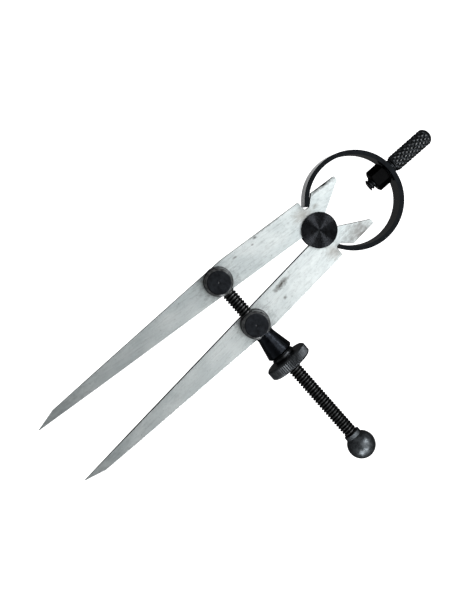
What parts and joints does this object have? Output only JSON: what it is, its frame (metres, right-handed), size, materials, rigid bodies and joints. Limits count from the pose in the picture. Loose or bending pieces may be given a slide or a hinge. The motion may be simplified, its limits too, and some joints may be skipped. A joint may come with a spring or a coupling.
{
  "type": "spring divider",
  "caption": "Flat-leg spring divider: two pointed steel legs rock on a flanged fulcrum, opened by a bow spring and set by a screw and knurled nut.",
  "frame": {"origin": "centre of the flat back face of the fulcrum stud, on the pivot axis of both legs", "axes": "+Y up the tool to the handle, with the points at -Y; +X along the adjusting screw towards its ball; +Z out of the front of the legs, towards the stud heads"},
  "size_m": [0.1107, 0.2133, 0.0235],
  "materials": {
    "bow_blued": "blued spring steel, satin",
    "handle_black": "black oxide over a diamond knurl",
    "nut_black": "black oxide",
    "fulcrum_black": "black oxide with turning marks",
    "leg_steel": "bright ground steel, satin",
    "stud_black": "black oxide, turned",
    "washer_steel": "plain steel",
    "screw_black": "black oxide thread",
    "ball_steel": "dark turned steel",
    "cone_black": "black oxide, turned",
    "split_nut_black": "black oxide",
    "ring_steel": "spring steel",
    "wheel_steel": "black oxide over a straight knurl"
  },
  "bodies": {
    "bow": {"bow_spring": "bow_blued", "handle": "handle_black", "handle_nut": "nut_black"},
    "fulcrum": {"fulcrum_stud": "fulcrum_black"},
    "left_leg": {"left_leg": "leg_steel"},
    "right_leg": {"right_leg": "leg_steel"},
    "anchor": {"anchor_stud": "stud_black", "anchor_washer": "washer_steel", "adjusting_screw": "screw_black", "screw_ball": "ball_steel"},
    "guide": {"guide_stud": "stud_black", "guide_washer": "washer_steel", "cone_washer": "cone_black"},
    "nut": {"half_nut_front": "split_nut_black", "half_nut_rear": "split_nut_black", "nut_ring": "ring_steel", "knurled_wheel": "wheel_steel"}
  },
  "joints": [
    {"name": "left_leg_swing", "type": "hinge", "parent": "fulcrum", "child": "left_leg", "pos_m": [0, 0, 0.0037], "axis": [0, 0, -1], "range_deg": [-5.5, 25]},
    {"name": "right_leg_swing", "type": "hinge", "parent": "fulcrum", "child": "right_leg", "pos_m": [0, 0, 0.0037], "axis": [0, 0, 1], "range_deg": [-5.5, 25]},
    {"name": "fulcrum_rise", "type": "slide", "parent": "bow", "child": "fulcrum", "axis": [0, -1, 0], "range_m": [-0.0012, 0.0053]},
    {"name": "anchor_swivel", "type": "hinge", "parent": "left_leg", "child": "anchor", "pos_m": [-0.01219, -0.04761, 0.0037], "axis": [0, 0, 1], "range_deg": [-5.5, 25]},
    {"name": "guide_swivel", "type": "hinge", "parent": "right_leg", "child": "guide", "pos_m": [0.01219, -0.04761, 0.0037], "axis": [0, 0, -1], "range_deg": [-5.5, 25]},
    {"name": "nut_turn", "type": "hinge", "parent": "guide", "child": "nut", "pos_m": [0.034, -0.04761, 0.0104], "axis": [1, 0, 0], "continuous": true}
  ],
  "couplings": [
    {"joint": "right_leg_swing", "follows": "left_leg_swing", "ratio": 1},
    {"joint": "fulcrum_rise", "follows": "left_leg_swing", "m_per_rad": 0.012},
    {"joint": "anchor_swivel", "follows": "left_leg_swing", "ratio": 1},
    {"joint": "guide_swivel", "follows": "left_leg_swing", "ratio": 1}
  ]
}
